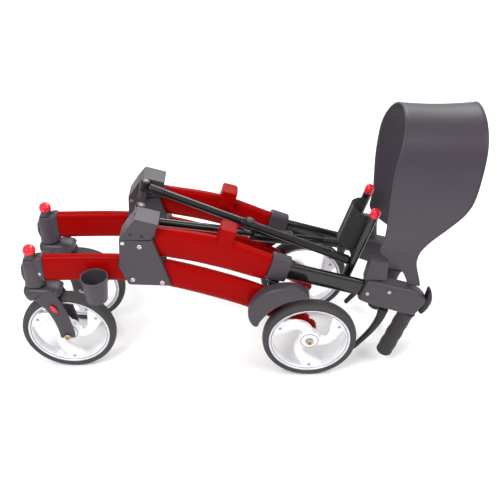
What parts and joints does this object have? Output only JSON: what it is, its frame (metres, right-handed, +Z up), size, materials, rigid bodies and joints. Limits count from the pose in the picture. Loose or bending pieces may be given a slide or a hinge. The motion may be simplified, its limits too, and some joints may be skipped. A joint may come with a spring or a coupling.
{
  "type": "folding rollator walking frame",
  "caption": "Side-folding walking frame in transport position: red oval side frames, uprights folded over the rails, swivel casters, rear wheels, cross brace, seat rails and a wide back band.",
  "frame": {"origin": "centre of the bounding box's base, on the floor", "axes": "+X to the handles and rear wheels, +Y to the walker's right side, +Z up"},
  "size_m": [0.9228, 0.2688, 0.5853],
  "materials": {
    "red_paint": "gloss red powder coat on flat oval tube",
    "grey_plastic": "satin grey nylon",
    "black_plastic": "satin black nylon",
    "black_tube": "black anodised tube",
    "tyre_rubber": "matte tyre rubber",
    "silver_rim": "silver-white moulded rim",
    "steel": "zinc plated steel",
    "red_plastic": "gloss red moulded plastic",
    "grip_rubber": "soft grip rubber",
    "band_fabric": "smooth coated webbing",
    "seat_fabric": "woven nylon"
  },
  "bodies": {
    "left_side": {"left_lower_rail": "red_paint", "left_hinge_bracket": "grey_plastic", "left_hinge_pin": "steel", "left_rear_axle": "steel", "left_fender": "grey_plastic", "left_caster_housing": "grey_plastic", "cane_cup": "grey_plastic"},
    "left_swivel_button": {"left_caster_cap": "red_plastic"},
    "left_caster": {"left_caster_fork": "grey_plastic", "left_front_axle": "steel", "left_reflector": "red_plastic"},
    "left_front_wheel": {"left_front_tyre": "tyre_rubber", "left_front_rim": "silver_rim"},
    "left_rear_wheel": {"left_rear_tyre": "tyre_rubber", "left_rear_rim": "silver_rim"},
    "left_upright_frame": {"left_upright": "red_paint", "left_upright_foot": "grey_plastic", "left_collar": "grey_plastic"},
    "left_knob": {"left_height_knob": "black_plastic"},
    "left_handle": {"left_handle_tube": "black_tube", "left_handle_block": "grey_plastic", "left_band_clamp": "grey_plastic", "left_grip": "grip_rubber", "left_thumb_hook": "black_plastic"},
    "left_lever": {"left_brake_lever": "black_plastic"},
    "left_seat_frame": {"left_seat_rail": "black_tube", "left_seat_cap": "red_plastic"},
    "right_side": {"right_lower_rail": "red_paint", "right_hinge_bracket": "grey_plastic", "right_hinge_pin": "steel", "right_rear_axle": "steel", "right_fender": "grey_plastic", "right_caster_housing": "grey_plastic"},
    "right_swivel_button": {"right_caster_cap": "red_plastic"},
    "right_caster": {"right_caster_fork": "grey_plastic", "right_front_axle": "steel", "right_reflector": "red_plastic"},
    "right_front_wheel": {"right_front_tyre": "tyre_rubber", "right_front_rim": "silver_rim"},
    "right_rear_wheel": {"right_rear_tyre": "tyre_rubber", "right_rear_rim": "silver_rim"},
    "right_upright_frame": {"right_upright": "red_paint", "right_upright_foot": "grey_plastic", "right_collar": "grey_plastic"},
    "right_knob": {"right_height_knob": "black_plastic"},
    "right_handle": {"right_handle_tube": "black_tube", "right_handle_block": "grey_plastic", "right_band_clamp": "grey_plastic", "right_grip": "grip_rubber", "right_thumb_hook": "black_plastic"},
    "right_lever": {"right_brake_lever": "black_plastic"},
    "right_seat_frame": {"right_seat_rail": "black_tube", "right_seat_cap": "red_plastic"},
    "cross_b": {"cross_bar_b": "black_tube", "cross_pivot": "steel"},
    "cross_a": {"cross_bar_a": "black_tube"},
    "band_far_end": {"back_band": "band_fabric"},
    "seat_far_edge": {"seat_sling": "seat_fabric"}
  },
  "joints": [
    {"name": "fold", "type": "hinge", "parent": "left_side", "child": "left_upright_frame", "pos_m": [-0.22509, -0.06605, 0.34463], "axis": [0, -1, 0], "range_deg": [0, 90]},
    {"name": "spread", "type": "hinge", "parent": "left_upright_frame", "child": "cross_b", "pos_m": [-0.19984, -0.03505, 0.36441], "axis": [0.2874, 0, 0.9578], "range_deg": [0, 52.39]},
    {"name": "cross_pivot_turn", "type": "hinge", "parent": "cross_b", "child": "cross_a", "pos_m": [0.02104, 0.01015, 0.32111], "axis": [0.2874, 0, 0.9578], "range_deg": [-104.88, 0.1]},
    {"name": "right_post_turn", "type": "hinge", "parent": "cross_a", "child": "right_upright_frame", "pos_m": [-0.19352, 0.05535, 0.38548], "axis": [0.2874, 0, 0.9578], "range_deg": [-0.1, 52.49]},
    {"name": "right_fold", "type": "hinge", "parent": "right_upright_frame", "child": "right_side", "pos_m": [-0.22509, 0.08635, 0.34463], "axis": [0, -1, 0], "range_deg": [-90.1, 0.1]},
    {"name": "left_seat_turn", "type": "hinge", "parent": "cross_a", "child": "left_seat_frame", "pos_m": [0.23559, -0.03505, 0.25674], "axis": [0.2874, 0, 0.9578], "range_deg": [-0.1, 52.49]},
    {"name": "right_seat_turn", "type": "hinge", "parent": "cross_b", "child": "right_seat_frame", "pos_m": [0.22927, 0.05535, 0.23567], "axis": [0.2874, 0, 0.9578], "range_deg": [-52.49, 0.1]},
    {"name": "handle_height", "type": "slide", "parent": "left_upright_frame", "child": "left_handle", "axis": [0.9578, 0, -0.2874], "range_m": [0, 0.12]},
    {"name": "right_handle_height", "type": "slide", "parent": "right_upright_frame", "child": "right_handle", "axis": [0.9578, 0, -0.2874], "range_m": [-0.001, 0.121]},
    {"name": "band_reach", "type": "slide", "parent": "left_handle", "child": "band_far_end", "axis": [0, 1, 0], "range_m": [-0.001, 0.3217], "deforming": ["back_band"]},
    {"name": "sling_reach", "type": "slide", "parent": "left_seat_frame", "child": "seat_far_edge", "axis": [0, 1, 0], "range_m": [-0.001, 0.3217], "deforming": ["seat_sling"]},
    {"name": "left_swivel", "type": "hinge", "parent": "left_side", "child": "left_caster", "pos_m": [-0.417, -0.06605, 0.2265], "axis": [0, 0, 1], "range_deg": [-180, 20]},
    {"name": "left_front_roll", "type": "hinge", "parent": "left_caster", "child": "left_front_wheel", "pos_m": [-0.365, -0.06605, 0.1], "axis": [0, 1, 0], "continuous": true},
    {"name": "left_rear_roll", "type": "hinge", "parent": "left_side", "child": "left_rear_wheel", "pos_m": [0.149, -0.09605, 0.1], "axis": [0, 1, 0], "continuous": true},
    {"name": "left_swivel_lock", "type": "slide", "parent": "left_side", "child": "left_swivel_button", "axis": [0, 0, 1], "range_m": [0, 0.006], "stiffness_N_per_m": 600},
    {"name": "left_brake", "type": "hinge", "parent": "left_handle", "child": "left_lever", "pos_m": [0.30277, -0.06605, 0.15703], "axis": [0, -1, 0], "range_deg": [0, 16], "stiffness_Nm_per_rad": 2},
    {"name": "left_knob_turn", "type": "hinge", "parent": "left_upright_frame", "child": "left_knob", "pos_m": [0.07284, -0.06605, 0.23697], "axis": [-0.2874, 0, -0.9578], "continuous": true},
    {"name": "right_swivel", "type": "hinge", "parent": "right_side", "child": "right_caster", "pos_m": [-0.417, 0.08635, 0.2265], "axis": [0, 0, 1], "range_deg": [-20, 180]},
    {"name": "right_front_roll", "type": "hinge", "parent": "right_caster", "child": "right_front_wheel", "pos_m": [-0.365, 0.08635, 0.1], "axis": [0, 1, 0], "continuous": true},
    {"name": "right_rear_roll", "type": "hinge", "parent": "right_side", "child": "right_rear_wheel", "pos_m": [0.149, 0.11635, 0.1], "axis": [0, 1, 0], "continuous": true},
    {"name": "right_swivel_lock", "type": "slide", "parent": "right_side", "child": "right_swivel_button", "axis": [0, 0, 1], "range_m": [0, 0.006], "stiffness_N_per_m": 600},
    {"name": "right_brake", "type": "hinge", "parent": "right_handle", "child": "right_lever", "pos_m": [0.30277, 0.08635, 0.15703], "axis": [0, -1, 0], "range_deg": [0, 16], "stiffness_Nm_per_rad": 2},
    {"name": "right_knob_turn", "type": "hinge", "parent": "right_upright_frame", "child": "right_knob", "pos_m": [0.07284, 0.08635, 0.23697], "axis": [-0.2874, 0, -0.9578], "continuous": true}
  ],
  "couplings": [
    {"joint": "cross_pivot_turn", "follows": "spread", "ratio": -2},
    {"joint": "right_post_turn", "follows": "spread", "ratio": 1},
    {"joint": "left_seat_turn", "follows": "spread", "ratio": 1},
    {"joint": "right_seat_turn", "follows": "spread", "ratio": -1},
    {"joint": "right_fold", "follows": "fold", "ratio": -1},
    {"joint": "right_handle_height", "follows": "handle_height", "ratio": 1},
    {"joint": "band_reach", "follows": "spread", "m_per_rad": 0.3496},
    {"joint": "sling_reach", "follows": "spread", "m_per_rad": 0.3496}
  ]
}
